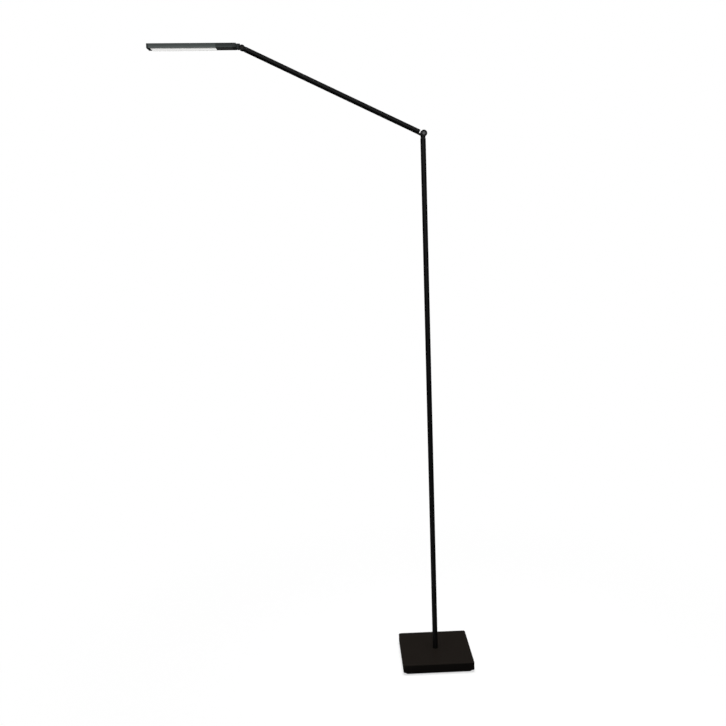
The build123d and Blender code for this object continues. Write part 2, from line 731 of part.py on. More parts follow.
def diffuser():
    half = CAVITY_WIDTH / 2 - PART_FIT
    low = SOLE_Z - DIFFUSER_PROUD
    lens = block(PANEL_END, DIFFUSER_END, -half, half, low, SOLE_Z + PANEL_THICK)
    lens = fillet(lens.faces().sort_by(Axis.Z)[0].edges(), DIFFUSER_EDGE)
    leg_low = low + DIFFUSER_WALL
    leg_high = SOLE_Z + PANEL_THICK + 2 * RIB
    inner = half - DIFFUSER_WALL
    hollow = block(PANEL_END - OVERCUT, DIFFUSER_END + OVERCUT, -inner, inner, leg_low, leg_high + OVERCUT)
    legs = block(PANEL_END + RIB, DIFFUSER_END - RIB, -half + RIB, half - RIB, leg_low, leg_high)
    return (lens + legs) - hollow


def led_board():
    half = LED_BOARD_WIDTH / 2
    start = PANEL_END + LED_BOARD_MARGIN
    end = DIFFUSER_END - LED_BOARD_MARGIN
    return block(start, end, -half, half, ROOF_Z - BOARD_THICK, ROOF_Z)


def led_chips():
    length, width, thick = LED_SIZE
    top = ROOF_Z - BOARD_THICK
    first = PANEL_END + LED_MARGIN
    pitch = (DIFFUSER_END - LED_MARGIN - first) / (LED_COUNT - 1)
    chips = []
    for i in range(LED_COUNT):
        x = first + i * pitch
        chips.append(block(x - length / 2, x + length / 2, -width / 2, width / 2, top - thick, top))
    return Compound(children=chips)


def switch_panel():
    panel = mouth(SHELL_START + PART_FIT, PANEL_END - PART_FIT, PART_FIT)
    panel -= rod_z(BUTTON_HOLE_R, SOLE_Z, SOLE_Z + PANEL_THICK, BUTTON_X)
    for y in HEAD_SCREW_SIDES:
        panel -= head_screw_hole(HEAD_SCREW_XS[0], y)
    return panel


def head_screws():
    screws = []
    for x in HEAD_SCREW_XS:
        for y in HEAD_SCREW_SIDES:
            screw = Pos(x, y, SOLE_Z) * countersink(HEAD_SCREW_HEAD_R, HEAD_SCREW_R)
            screw += rod_z(HEAD_SCREW_R, SOLE_Z, ROOF_Z + HEAD_SCREW_BITE, x, y)
            screw -= Pos(x, y, SOLE_Z) * hexagon(HEAD_SCREW_R, HEAD_SCREW_SOCKET_DEPTH)
            screws.append(screw)
    return Compound(children=screws)


def switch_board_z():
    """The underside of the dimmer's board, above the button, its travel and the small switch."""
    flange_top = SOLE_Z + PANEL_THICK + STACK_FIT + BUTTON_FLANGE_THICK
    return flange_top + BUTTON_TRAVEL + STACK_FIT + SWITCH_HEIGHT


def dimmer_board():
    low = switch_board_z()
    high = low + DIMMER_BOARD_THICK
    half = DIMMER_BOARD_HALF
    board = block(DIMMER_BOARD_START, PANEL_END - STACK_FIT, -half, half, low, high)
    for y in HEAD_SCREW_SIDES:
        board -= rod_z(HEAD_SCREW_R + SCREW_FIT, low, high, HEAD_SCREW_XS[0], y)
    return board


def tact_switch():
    top = switch_board_z()
    half = SWITCH_SIDE / 2
    body = block(BUTTON_X - half, BUTTON_X + half, -half, half, top - SWITCH_BODY, top)
    return body + rod_z(SWITCH_STEM_R, top - SWITCH_HEIGHT, top - SWITCH_BODY, BUTTON_X)


def dimmer_button():
    flange_low = SOLE_Z + PANEL_THICK + STACK_FIT
    button = rod_z(BUTTON_R, SOLE_Z - BUTTON_PROUD, flange_low, BUTTON_X)
    button = fillet(button.faces().sort_by(Axis.Z)[0].edges(), BUTTON_EDGE)
    return button + rod_z(BUTTON_FLANGE_R, flange_low, flange_low + BUTTON_FLANGE_THICK, BUTTON_X)


def head_lead():
    height = ROOF_Z - WIRE_R - STACK_FIT
    rise_start, rise_end = HEAD_LEAD_RISE
    start = (STUB_END + LEAD_SETBACK, 0, 0)
    points = [start, (rise_start, 0, 0), (rise_end, 0, height), (HEAD_LEAD_END, 0, height)]
    return lead(points, HEAD_LEAD_BEND, WIRE_R)


STAND = [
    base_pad, base_plate, base_screws, base_weight, base_cover, dc_jack, jack_nut, foot_spigot,
    foot_set_screw, foot_washer, foot_nut, lower_pole, upper_pole, pole_coupler, coupler_set_screws,
    swivel_bush, pole_lead,
]
ELBOW = [elbow_fork, swivel_ring, elbow_bolt, elbow_washers, elbow_spring_washer, elbow_nut]
ARM = [elbow_tang, arm_tube, arm_set_screws, arm_lead]
WRIST = [wrist_fork, wrist_bolt, wrist_washers, wrist_nut]
NECK = [head_neck, neck_ring]
HEAD = [
    head_shell, head_tip_cap, head_rear_cap, diffuser, led_board, led_chips, switch_panel, head_screws,
    dimmer_board, tact_switch, dimmer_button, head_lead,
]

os.makedirs("parts", exist_ok=True)
groups = [
    (STAND, Plane.XY),
    (ELBOW, elbow_place()),
    (ARM, arm_place()),
    (WRIST, wrist_place()),
    (NECK, head_place()),
    (HEAD, head_middle_place()),
]
for makers, place in groups:
    for maker in makers:
        export_step(place.location * maker(), f"parts/{maker.__name__}.step")
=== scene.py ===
# Looks of the LED pharmacy floor lamp: camera, studio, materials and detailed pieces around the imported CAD.
import json
import math

import bmesh
import bpy
from mathutils import Matrix, Vector


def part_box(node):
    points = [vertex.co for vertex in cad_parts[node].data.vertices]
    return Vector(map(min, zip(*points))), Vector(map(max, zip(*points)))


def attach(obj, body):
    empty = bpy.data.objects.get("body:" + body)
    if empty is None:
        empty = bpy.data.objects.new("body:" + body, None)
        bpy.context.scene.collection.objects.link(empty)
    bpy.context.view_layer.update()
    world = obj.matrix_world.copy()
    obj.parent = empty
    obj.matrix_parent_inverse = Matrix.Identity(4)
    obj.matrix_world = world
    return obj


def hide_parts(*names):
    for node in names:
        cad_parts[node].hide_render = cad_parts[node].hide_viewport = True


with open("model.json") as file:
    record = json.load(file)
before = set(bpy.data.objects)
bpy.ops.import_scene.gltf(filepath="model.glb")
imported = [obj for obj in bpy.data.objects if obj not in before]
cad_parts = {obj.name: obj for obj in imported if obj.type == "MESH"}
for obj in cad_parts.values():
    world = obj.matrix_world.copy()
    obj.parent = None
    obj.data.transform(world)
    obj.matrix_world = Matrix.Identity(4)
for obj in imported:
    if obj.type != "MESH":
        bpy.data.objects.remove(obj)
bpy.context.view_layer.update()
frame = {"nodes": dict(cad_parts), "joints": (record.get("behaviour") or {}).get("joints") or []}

MM = 0.001

# The design's sizes, in millimetres, for the pieces that replace CAD nodes

# Base
BASE_SIDE = 190.0
BASE_HEIGHT = 27.0
BASE_CORNER = 6.0
COVER_BOTTOM = 6.5
COVER_WALL = 1.5
COVER_EDGE = 1.0
STEM_HOLE_R = 5.1

# Power inlet and its ring nut
JACK_Z = 13.0
JACK_HOLE_R = 4.05
JACK_HOLE_REACH = 4.0
JACK_NOSE_R = 4.0
JACK_NUT_R = 6.0
JACK_NUT_THICK = 1.8
KNURLS = 36
KNURL_DEPTH = 0.22
NUT_RIM_EDGE = 0.35
NUT_FACE_EDGE = 0.45
NUT_BORE_EDGE = 0.3

# Tubes of the pole and the arm
TUBE_R = 7.0
TUBE_BORE_R = 5.8
TUBE_LIP = 0.15
SCREW_HOLE_R = 1.55
SCREW_HOLE_START = 3.0
SCREW_HOLE_END = 10.0
SPIGOT_LENGTH = 50.0
FOOT_SCREW_Z = BASE_HEIGHT + SPIGOT_LENGTH / 3
JOINT_HEIGHT = 720.0
COUPLER_HALF = 32.0
ARM_DROP = 2.3
ARM_TUBE_START = 12.4
ARM_TUBE_END = 495.0
ARM_PLUG = 30.0

# Head, measured along it from the wrist's pin
HEAD_WIDTH = 38.0
HEAD_THICK = 12.2
HEAD_EDGE = 1.2
HEAD_WALL = 1.6
HEAD_ROOF = 1.7
HEAD_SCREW_R = 1.15
HEAD_SCREW_BITE = 1.0
HEAD_SCREW_XS = (60.0, 230.5)
HEAD_SCREW_SIDES = (-9.0, 9.0)
CAP_START = 14.0
CAP_GROOVE = 16.6
CAP_GROOVE_SIZE = 0.7
CAP_RIM = 0.4
CAP_PLUG_END = 25.0
STUB_HOLE_R = 3.05
SHELL_START = 23.0
SHELL_END = 233.0
PANEL_THICK = 1.6
PANEL_END = 65.0
DIFFUSER_END = 228.0
DIFFUSER_PROUD = 1.2
DIFFUSER_EDGE = 0.6
DIFFUSER_CORNER = 0.8
PART_FIT = 0.15
FITTED_WIDTH = HEAD_WIDTH - 2 * HEAD_WALL - 2 * PART_FIT

# Dimmer button
BUTTON_X = 45.0
BUTTON_R = 4.5
BUTTON_PROUD = 0.8
BUTTON_DISH = 0.35
BUTTON_DISH_SHARE = 0.8
BUTTON_EDGE = 0.5
BUTTON_FLANGE_GAP = 0.1
BUTTON_FLANGE_R = 5.8
BUTTON_FLANGE_THICK = 0.8

# Small broken edges, and how far a cut runs past what it cuts
FINE_EDGE = 0.2
CUT_ROOM = 1.0

# How finely curves are cut, and how near two points are to be one, in metres
SEGMENTS = 96
BUTTON_SEGMENTS = 64
HOLE_SEGMENTS = 48
SMALL_HOLE_SEGMENTS = 24
CORNER_STEPS = 10
EDGE_STEPS = 6
COVER_EDGE_STEPS = 8
TUBE_LIP_STEPS = 4
BUTTON_DISH_STEPS = 8
BUTTON_EDGE_STEPS = 5
MERGE_DISTANCE = 1e-7

WHITE = (1.0, 1.0, 1.0, 1.0)


# ---------------------------------------------------------------- places

def joint(name):
    """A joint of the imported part, by name."""
    return next(j for j in frame["joints"] if j["name"] == name)


ELBOW_PIN = Vector(joint("arm_tilt")["pos_m"])
WRIST_PIN = Vector(joint("head_tilt")["pos_m"])
HEAD_MIDDLE = Vector(joint("head_roll")["pos_m"])
HEAD_AXIS = Vector(joint("head_roll")["axis"])


# ---------------------------------------------------------------- camera

CAMERA_AT = Vector((-0.2288, -2.3494, 1.2154))
CAMERA_YAW = math.radians(1.413)
CAMERA_PITCH = math.radians(6.991)
CAMERA_ROLL = math.radians(1.885)
CAMERA_LENS = 44.45
CAMERA_SENSOR = 36.0
CAMERA_SHIFT_Y = -0.0496


def add_camera():
    """A camera turned to the right, pitched down and rolled."""
    level = math.cos(CAMERA_PITCH)
    forward = Vector((math.sin(CAMERA_YAW) * level, math.cos(CAMERA_YAW) * level, -math.sin(CAMERA_PITCH)))
    right = Vector((math.cos(CAMERA_YAW), -math.sin(CAMERA_YAW), 0.0))
    down = forward.cross(right)
    turned_right = math.cos(CAMERA_ROLL) * right + math.sin(CAMERA_ROLL) * down
    turned_down = math.cos(CAMERA_ROLL) * down - math.sin(CAMERA_ROLL) * right
    data = bpy.data.cameras.new("camera")
    data.lens = CAMERA_LENS
    data.sensor_width = CAMERA_SENSOR
    data.shift_y = CAMERA_SHIFT_Y
    data.clip_end = 100.0
    camera = bpy.data.objects.new("camera", data)
    bpy.context.scene.collection.objects.link(camera)
    turn = Matrix((turned_right, -turned_down, -forward)).transposed().to_4x4()
    camera.matrix_world = Matrix.Translation(CAMERA_AT) @ turn
    bpy.context.scene.camera = camera


add_camera()


# ---------------------------------------------------------------- node helpers

class Graph:
    """A short way to write a material's nodes."""

    # The Mix node's colour sockets, which share their names with its other types' sockets
    COLOR_A = 6
    COLOR_B = 7
    COLOR_RESULT = 2

    def __init__(self, tree):
        self.tree = tree
        tree.nodes.clear()

    def add(self, kind, inputs=None, **settings):
        node = self.tree.nodes.new(kind)
        for key, value in settings.items():
            setattr(node, key, value)
        for key, value in (inputs or {}).items():
            self.put(node.inputs[key], value)
        return node

    def put(self, socket, value):
        if isinstance(value, bpy.types.NodeSocket):
            self.tree.links.new(value, socket)
        else:
            socket.default_value = value

    def math(self, operation, a, b=0.0):
        return self.add("ShaderNodeMath", {0: a, 1: b}, operation=operation).outputs[0]

    def ramp(self, value, stops, mode="LINEAR"):
        """A grey level for each position along a value from 0 to 1."""
        node = self.add("ShaderNodeValToRGB", {"Fac": value})
        node.color_ramp.interpolation = mode
        elements = node.color_ramp.elements
        while len(elements) < len(stops):
            elements.new(0.5)
        for element, (position, level) in zip(elements, stops):
            element.position = position
            element.color = (level, level, level, 1.0)
        return node.outputs["Color"]

    def noise(self, vector, scale, detail=2.0, roughness=0.5):
        node = self.add("ShaderNodeTexNoise", {
            "Vector": vector, "Scale": scale, "Detail": detail, "Roughness": roughness,
        })
        return node.outputs["Fac"]

    def mix_color(self, factor, a, b, blend="MIX"):
        node = self.add("ShaderNodeMix", data_type="RGBA", blend_type=blend)
        self.put(node.inputs["Factor"], factor)
        self.put(node.inputs[self.COLOR_A], a)
        self.put(node.inputs[self.COLOR_B], b)
        return node.outputs[self.COLOR_RESULT]

    def bump(self, shader, height, strength, distance):
        bumped = self.add("ShaderNodeBump", {"Height": height, "Strength": strength, "Distance": distance})
        self.put(shader.inputs["Normal"], bumped.outputs[0])


# ---------------------------------------------------------------- world, floor and lights

FRONT_GLOW = 0.26
REAR_GLOW = 0.05
ROOM_GLOW = 0.012
FLOOR_SIZE = 12.0
FLOOR_DROP = 0.0002
FLOOR_GLOW_REACH = 2.0
NEAR_GLOW = 0.65
FLOOR_SHADE = (0.03, 0.03, 0.03, 1.0)
OVERHEAD_AT = (0.0, -0.2, 3.4)
OVERHEAD_TARGET = (0.0, -0.05, 0.0)
OVERHEAD_SIZE = 1.5
OVERHEAD_WATTS = 135.0
BOUNCE_AT = (-0.58, 0.0, 0.01)
BOUNCE_TARGET = (-0.58, 0.0, 1.0)
BOUNCE_SIZE = 0.9
BOUNCE_WATTS = 8.0


def add_world():
    """White behind the lamp. What lights it is a soft panel in front, a weaker one behind, and dark sides."""
    world = bpy.data.worlds.new("studio")
    bpy.context.scene.world = world
    world.use_nodes = True
    g = Graph(world.node_tree)
    direction = g.add("ShaderNodeTexCoord").outputs["Generated"]
    parts = g.add("ShaderNodeSeparateXYZ", {"Vector": direction})
    front = g.math("MULTIPLY", parts.outputs["Y"], -1.0)
    front_panel = g.ramp(front, [(0.5, 0.0), (0.9, FRONT_GLOW)], "EASE")
    rear_panel = g.ramp(parts.outputs["Y"], [(0.75, 0.0), (0.97, REAR_GLOW)], "EASE")
    panels = g.mix_color(1.0, front_panel, rear_panel, "ADD")
    level = g.mix_color(1.0, panels, (ROOM_GLOW, ROOM_GLOW, ROOM_GLOW, 1.0), "ADD")
    fill = g.add("ShaderNodeBackground", {"Color": level, "Strength": 1.0})
    white = g.add("ShaderNodeBackground", {"Color": WHITE, "Strength": 1.0})
    seen = g.add("ShaderNodeLightPath").outputs["Is Camera Ray"]
    both = g.add("ShaderNodeMixShader", {0: seen, 1: fill.outputs[0], 2: white.outputs[0]})
    g.add("ShaderNodeOutputWorld", {"Surface": both.outputs[0]})


def add_floor():
    """A floor that shows as white paper by the base and as plain white beyond, and throws little light."""
    bm = bmesh.new()
    bmesh.ops.create_grid(bm, x_segments=8, y_segments=8, size=FLOOR_SIZE)
    mesh = bpy.data.meshes.new("floor")
    bm.to_mesh(mesh)
    bm.free()
    floor = bpy.data.objects.new("floor", mesh)
    bpy.context.scene.collection.objects.link(floor)
    floor.location.z = -FLOOR_DROP
    white = bpy.data.materials.new("floor_white")
    white.use_nodes = True
    g = Graph(white.node_tree)
    place = g.add("ShaderNodeTexCoord").outputs["Object"]
    distance = g.add("ShaderNodeVectorMath", {0: place}, operation="LENGTH").outputs["Value"]
    reach = g.math("MULTIPLY", distance, 1.0 / FLOOR_GLOW_REACH)
    far = g.ramp(reach, [(0.05, NEAR_GLOW), (0.6, 1.0)], "EASE")
    speck = g.ramp(g.noise(place, 40.0, 4.0), [(0.3, 0.93), (0.7, 0.96)])
    paper = g.add("ShaderNodeBsdfDiffuse", {"Color": speck})
    glow = g.add("ShaderNodeEmission", {"Color": WHITE, "Strength": 1.0})
    seen_floor = g.add("ShaderNodeMixShader", {0: far, 1: paper.outputs[0], 2: glow.outputs[0]})
    dark = g.add("ShaderNodeBsdfDiffuse", {"Color": FLOOR_SHADE})
    seen = g.add("ShaderNodeLightPath").outputs["Is Camera Ray"]
    both = g.add("ShaderNodeMixShader", {0: seen, 1: dark.outputs[0], 2: seen_floor.outputs[0]})
    g.add("ShaderNodeOutputMaterial", {"Surface": both.outputs[0]})
    mesh.materials.append(white)


def add_softbox(name, at, target, size, watts):
    """A square lamp panel that neither shows nor is mirrored."""
    data = bpy.data.lights.new(name, "AREA")
    data.shape = "RECTANGLE"
    data.size = size
    data.size_y = size
    data.energy = watts
    light = bpy.data.objects.new(name, data)
    bpy.context.scene.collection.objects.link(light)
    light.location = at
    aim = Vector(target) - Vector(at)
    light.rotation_euler = aim.to_track_quat("-Z", "Y").to_euler()
    light.visible_camera = False
    light.visible_glossy = False


bpy.context.scene.view_settings.view_transform = "Standard"
bpy.context.scene.view_settings.look = "None"
add_world()
add_floor()
add_softbox("overhead", OVERHEAD_AT, OVERHEAD_TARGET, OVERHEAD_SIZE, OVERHEAD_WATTS)
add_softbox("floor_bounce", BOUNCE_AT, BOUNCE_TARGET, BOUNCE_SIZE, BOUNCE_WATTS)


# ---------------------------------------------------------------- materials

HEAD_METALLIC = 0.85
# Painted light on the head's channel: painted shade over its rear, by the switch panel.
REAR_PAINTED_SHADE = 0.5
# Painted glow low on the head's sides, towards the strip, and painted shade high on them.
LOW_EDGE_PAINTED_GLOW = 1.7
LOW_SIDE_PAINTED_GLOW = 1.2
HIGH_SIDE_PAINTED_SHADE = 0.8
OPAL_MIDDLE = 0.62
OPAL_EDGE = 0.32
OPAL_TINT = (1.0, 1.0, 0.995, 1)
OPAL_WARM = (1.0, 0.995, 0.98, 1)


def material(name, paint):
    """A named material whose nodes are made by a paint function, in the piece's own coordinates."""
    made = bpy.data.materials.new(name)
    made["slot"] = name
    made.use_nodes = True
    g = Graph(made.node_tree)
    shader = g.add("ShaderNodeBsdfPrincipled")
    g.add("ShaderNodeOutputMaterial", {"Surface": shader.outputs[0]})
    place = g.add("ShaderNodeTexCoord").outputs["Object"]
    paint(g, shader, place)
    return made


def powder_coat(low, high, roughness, grain, bump, specular=0.5):
    """Powder coat: two near tones in soft clouds, with a fine pebbled skin."""
    def paint(g, shader, place):
        shader.inputs["Specular IOR Level"].default_value = specular
        cloud = g.noise(place, 35.0, 5.0, 0.6)
        g.put(shader.inputs["Base Color"], g.mix_color(cloud, low, high))
        skin = g.noise(place, grain, 3.0, 0.55)
        gloss = g.ramp(g.noise(place, 260.0, 3.0), [(0.3, roughness - 0.05), (0.7, roughness + 0.05)])
        g.put(shader.inputs["Roughness"], gloss)
        g.bump(shader, skin, bump, 0.08 * MM)
    return paint


def bare_metal(color, roughness):
    """Plated steel or brass with faint turning marks and spots."""
    def paint(g, shader, place):
        spot = g.noise(place, 420.0, 4.0, 0.6)
        darker = tuple(0.7 * c for c in color[:3]) + (1.0,)
        g.put(shader.inputs["Base Color"], g.mix_color(spot, darker, color))
        g.put(shader.inputs["Roughness"], g.ramp(spot, [(0.3, roughness - 0.08), (0.7, roughness + 0.1)]))
        shader.inputs["Metallic"].default_value = 1.0
    return paint


def plastic(color, roughness, grain=2200.0):
    """Moulded plastic or rubber: one tone in soft clouds, with a fine skin."""
    def paint(g, shader, place):
        cloud = g.noise(place, 90.0, 3.0)
        lighter = tuple(min(1.0, 1.15 * c) for c in color[:3]) + (1.0,)
        g.put(shader.inputs["Base Color"], g.mix_color(cloud, color, lighter))
        skin = g.noise(place, grain, 2.0)
        g.put(shader.inputs["Roughness"], g.ramp(skin, [(0.3, roughness - 0.05), (0.7, roughness + 0.05)]))
        g.bump(shader, skin, 0.25, 0.04 * MM)
    return paint


def anodised(low, high, roughness):
    """Dark anodised aluminium with the faint lengthwise lines of an extrusion."""
    def paint(g, shader, place):
        stretched = g.add("ShaderNodeMapping", {"Vector": place, "Scale": (12.0, 900.0, 900.0)}).outputs[0]
        lines = g.noise(stretched, 1.0, 3.0, 0.6)
        cloud = g.noise(place, 45.0, 3.0)
        tone = g.mix_color(cloud, low, high)
        g.put(shader.inputs["Base Color"], g.mix_color(0.35, tone, g.mix_color(lines, low, high)))
        g.put(shader.inputs["Roughness"], g.ramp(lines, [(0.3, roughness - 0.04), (0.7, roughness + 0.06)]))
        g.bump(shader, lines, 0.2, 0.02 * MM)
        shader.inputs["Metallic"].default_value = HEAD_METALLIC
    return paint


def anodised_with_painted_light(low, high, roughness):
    """The head's long channel, anodised, with painted light: painted shade over the rear round the switch, a
    painted glow low on its sides and painted shade high on them.
    """
    coat = anodised(low, high, roughness)

    def paint(g, shader, place):
        coat(g, shader, place)
        parts = g.add("ShaderNodeSeparateXYZ", {"Vector": place})
        along = g.math("MULTIPLY", parts.outputs["X"], 1.0 / (2 * PANEL_END * MM))
        # Painted shade: the rear of the channel, over the switch panel, is darkened.
        rear_painted_shade = g.ramp(along, [(0.49, REAR_PAINTED_SHADE), (0.51, 1.0)])
        # Painted light: the sides get a painted glow low down and painted shade high up.
        up = g.math("ADD", g.math("MULTIPLY", parts.outputs["Z"], 1.0 / (HEAD_THICK * MM)), 0.5)
        side_painted_glow_and_shade = g.ramp(up, [(0.12, LOW_EDGE_PAINTED_GLOW), (0.3, LOW_SIDE_PAINTED_GLOW), (0.9, HIGH_SIDE_PAINTED_SHADE)])
        painted_light = g.mix_color(1.0, rear_painted_shade, side_painted_glow_and_shade, "MULTIPLY")
        plain = shader.inputs["Base Color"].links[0].from_socket
        g.put(shader.inputs["Base Color"], g.mix_color(1.0, plain, painted_light, "MULTIPLY"))
    return paint


def opal(g, shader, place):
    """Opal acrylic lit from behind: brightest along its middle, a little dimmer towards its long edges."""
    cloud = g.noise(place, 120.0, 3.0)
    g.put(shader.inputs["Base Color"], g.mix_color(cloud, (0.86, 0.86, 0.83, 1), (0.92, 0.92, 0.9, 1)))
    shader.inputs["Roughness"].default_value = 0.42
    across = g.add("ShaderNodeSeparateXYZ", {"Vector": place}).outputs["Y"]
    edge = g.math("MULTIPLY", g.math("ABSOLUTE", across), 1.0 / (FITTED_WIDTH / 2 * MM))
    glow = g.ramp(edge, [(0.35, OPAL_MIDDLE), (1.0, OPAL_EDGE)], "EASE")
    tint = g.mix_color(cloud, OPAL_TINT, OPAL_WARM)
    g.put(shader.inputs["Emission Color"], g.mix_color(1.0, glow, tint, "MULTIPLY"))
    shader.inputs["Emission Strength"].default_value = 1.0


PAINTS = {
    "base_black": powder_coat(
        (0.0098, 0.0076, 0.0061, 1), (0.0122, 0.0098, 0.0080, 1), 0.52, 1500.0, 0.35, 0.3),
    "plate_black": powder_coat((0.004, 0.004, 0.004, 1), (0.007, 0.007, 0.007, 1), 0.6, 1500.0, 0.35),
    "tube_black": powder_coat(
        (0.0045, 0.0045, 0.0045, 1), (0.0065, 0.0065, 0.0065, 1), 0.33, 1900.0, 0.25, 0.62),
    # The head's channel carries painted shade at the rear, and a painted glow and painted shade on its sides.
    "head_grey": anodised_with_painted_light((0.215, 0.245, 0.24, 1), (0.265, 0.295, 0.29, 1), 0.36),
    "cap_grey": anodised((0.12, 0.135, 0.132, 1), (0.15, 0.165, 0.162, 1), 0.42),
    "neck_grey": anodised((0.10, 0.113, 0.11, 1), (0.125, 0.14, 0.137, 1), 0.42),
    "panel_black": plastic((0.072, 0.073, 0.073, 1), 0.5),
    "button_black": plastic((0.08, 0.081, 0.081, 1), 0.4),
    "jack_black": plastic((0.008, 0.008, 0.008, 1), 0.4),
    "lead_black": plastic((0.012, 0.012, 0.012, 1), 0.5),
    "pad_rubber": plastic((0.015, 0.015, 0.015, 1), 0.8, 1200.0),
    "board_white": plastic((0.8, 0.8, 0.78, 1), 0.4),
    "board_green": plastic((0.01, 0.07, 0.03, 1), 0.35),
    "led_yellow": plastic((0.8, 0.65, 0.2, 1), 0.4),
    "weight_iron": bare_metal((0.16, 0.155, 0.15, 1), 0.7),
    "plain_steel": bare_metal((0.5, 0.5, 0.49, 1), 0.35),
    "screw_steel": bare_metal((0.05, 0.05, 0.05, 1), 0.4),
    "pin_steel": bare_metal((0.55, 0.55, 0.55, 1), 0.36),
    "dark_steel": bare_metal((0.16, 0.15, 0.14, 1), 0.42),
    "bush_brass": bare_metal((0.6, 0.42, 0.15, 1), 0.35),
    "bush_black": plastic((0.008, 0.008, 0.008, 1), 0.4),
    "diffuser_white": opal,
}

MATERIALS = {name: material(name, paint) for name, paint in PAINTS.items()}

for node in frame["nodes"].values():
    for holder in node.material_slots:
        holder.material = MATERIALS[holder.material.name.split(".")[0]]


# ---------------------------------------------------------------- mesh helpers

def place_along(origin, angle):
    """A moving group's own frame: X along the arm or the head, Z on its upper side."""
    x_axis = Vector((-math.cos(angle), 0.0, math.sin(angle)))
    z_axis = Vector((math.sin(angle), 0.0, math.cos(angle)))
    turn = Matrix((x_axis, z_axis.cross(x_axis), z_axis)).transposed().to_4x4()
    return Matrix.Translation(origin) @ turn


def arm_angle():
    """The arm's angle above level. The tube's axis runs through the wrist's pin and under the elbow's."""
    run = WRIST_PIN - ELBOW_PIN
    return math.atan2(run.z, -run.x) + math.asin(ARM_DROP * MM / run.length)


def rounded_rectangle(width, height, corner, steps):
    """Points round a rectangle with rounded corners, anticlockwise, in millimetres."""
    points = []
    for quarter, (side_u, side_v) in enumerate(((1, 1), (-1, 1), (-1, -1), (1, -1))):
        middle_u = side_u * (width / 2 - corner)
        middle_v = side_v * (height / 2 - corner)
        for i in range(steps + 1):
            turn = math.radians(90 * (quarter + i / steps))
            points.append((middle_u + corner * math.cos(turn), middle_v + corner * math.sin(turn)))
    return points


def ring_on_x(points, x):
    """A section of points in Y and Z, at a place along X."""
    return [Vector((x, u, v)) for u, v in points]


def ring_on_z(points, z):
    """A section of points in X and Y, at a height."""
    return [Vector((u, v, z)) for u, v in points]


def skin(rings, closed_loop=False):
    """A closed mesh through rings of equal count, capped at both ends or joined round into a loop."""
    bm = bmesh.new()
    made = [[bm.verts.new(point * MM) for point in ring] for ring in rings]
    pairs = list(zip(made, made[1:]))
    if closed_loop:
        pairs.append((made[-1], made[0]))
    for first, second in pairs:
        for i in range(len(first)):
            j = (i + 1) % len(first)
            bm.faces.new((first[i], first[j], second[j], second[i]))
    if not closed_loop:
        bm.faces.new(made[0])
        bm.faces.new(made[-1])
    bmesh.ops.recalc_face_normals(bm, faces=bm.faces)
    return bm


def turned(profile, segments=SEGMENTS):
    """A closed turned shape. The profile is a loop of (radius, height) round its own section, about Z."""
    rings = []
    for radius, height in profile:
        turns = [math.tau * i / segments for i in range(segments)]
        rings.append([Vector((radius * math.cos(t), radius * math.sin(t), height)) for t in turns])
    return skin(rings, closed_loop=True)


def arc(middle, radius, start, end, steps):
    """Points of an arc between two angles in degrees."""
    points = []
    for i in range(steps + 1):
        turn = math.radians(start + (end - start) * i / steps)
        points.append((middle[0] + radius * math.cos(turn), middle[1] + radius * math.sin(turn)))
    return points


def rod(radius, start, end, segments=HOLE_SEGMENTS):
    """A bar between two points, for cutting a hole."""
    bm = bmesh.new()
    run = end - start
    bmesh.ops.create_cone(
        bm, cap_ends=True, segments=segments, radius1=radius * MM, radius2=radius * MM, depth=run.length * MM)
    turn = run.to_track_quat("Z", "Y").to_matrix().to_4x4()
    bmesh.ops.transform(bm, matrix=Matrix.Translation((start + end) / 2 * MM) @ turn, verts=bm.verts)
    return bm


def mesh_object(name, bm, place):
    """A linked object made from a bmesh, which it uses up."""
    mesh = bpy.data.meshes.new(name)
    bm.to_mesh(mesh)
    bm.free()
    made = bpy.data.objects.new(name, mesh)
    bpy.context.scene.collection.objects.link(made)
    made.matrix_world = place
    return made


def carve(target, shapes):
    """Cuts shapes, given in the target's own frame, out of it and keeps only the result."""
    for shape in shapes:
        tool = mesh_object("tool", shape, target.matrix_world)
        modifier = target.modifiers.new("carve", "BOOLEAN")
        modifier.operation = "DIFFERENCE"
        modifier.solver = "EXACT"
        modifier.object = tool
        bpy.context.view_layer.update()
        evaluated = target.evaluated_get(bpy.context.evaluated_depsgraph_get())
        result = bpy.data.meshes.new_from_object(evaluated)
        target.modifiers.remove(modifier)
        old = target.data
        target.data = result
        bpy.data.meshes.remove(old)
        bpy.data.objects.remove(tool)


def finish_piece(piece, body, node, sharp=40.0):
    """Smooth shading with real edges kept, the node's own material slot, and its ride on the body."""
    slot = frame["nodes"][node].material_slots[0].material["slot"]
    piece.data.materials.clear()
    piece.data.materials.append(MATERIALS[slot])
    piece.data.shade_smooth()
    piece.data.set_sharp_from_angle(angle=math.radians(sharp))
    weights = piece.modifiers.new("face_weights", "WEIGHTED_NORMAL")
    weights.keep_sharp = True
    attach(piece, body)
    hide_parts(node)


STAND_PLACE = Matrix.Identity(4)
ARM_PLACE = place_along(ELBOW_PIN, arm_angle())
HEAD_PLACE = place_along(HEAD_MIDDLE, math.atan2(HEAD_AXIS.z, -HEAD_AXIS.x))


# ---------------------------------------------------------------- base

def square(side, corner):
    """Points round a square with rounded corners."""
    return rounded_rectangle(side, side, corner, CORNER_STEPS)


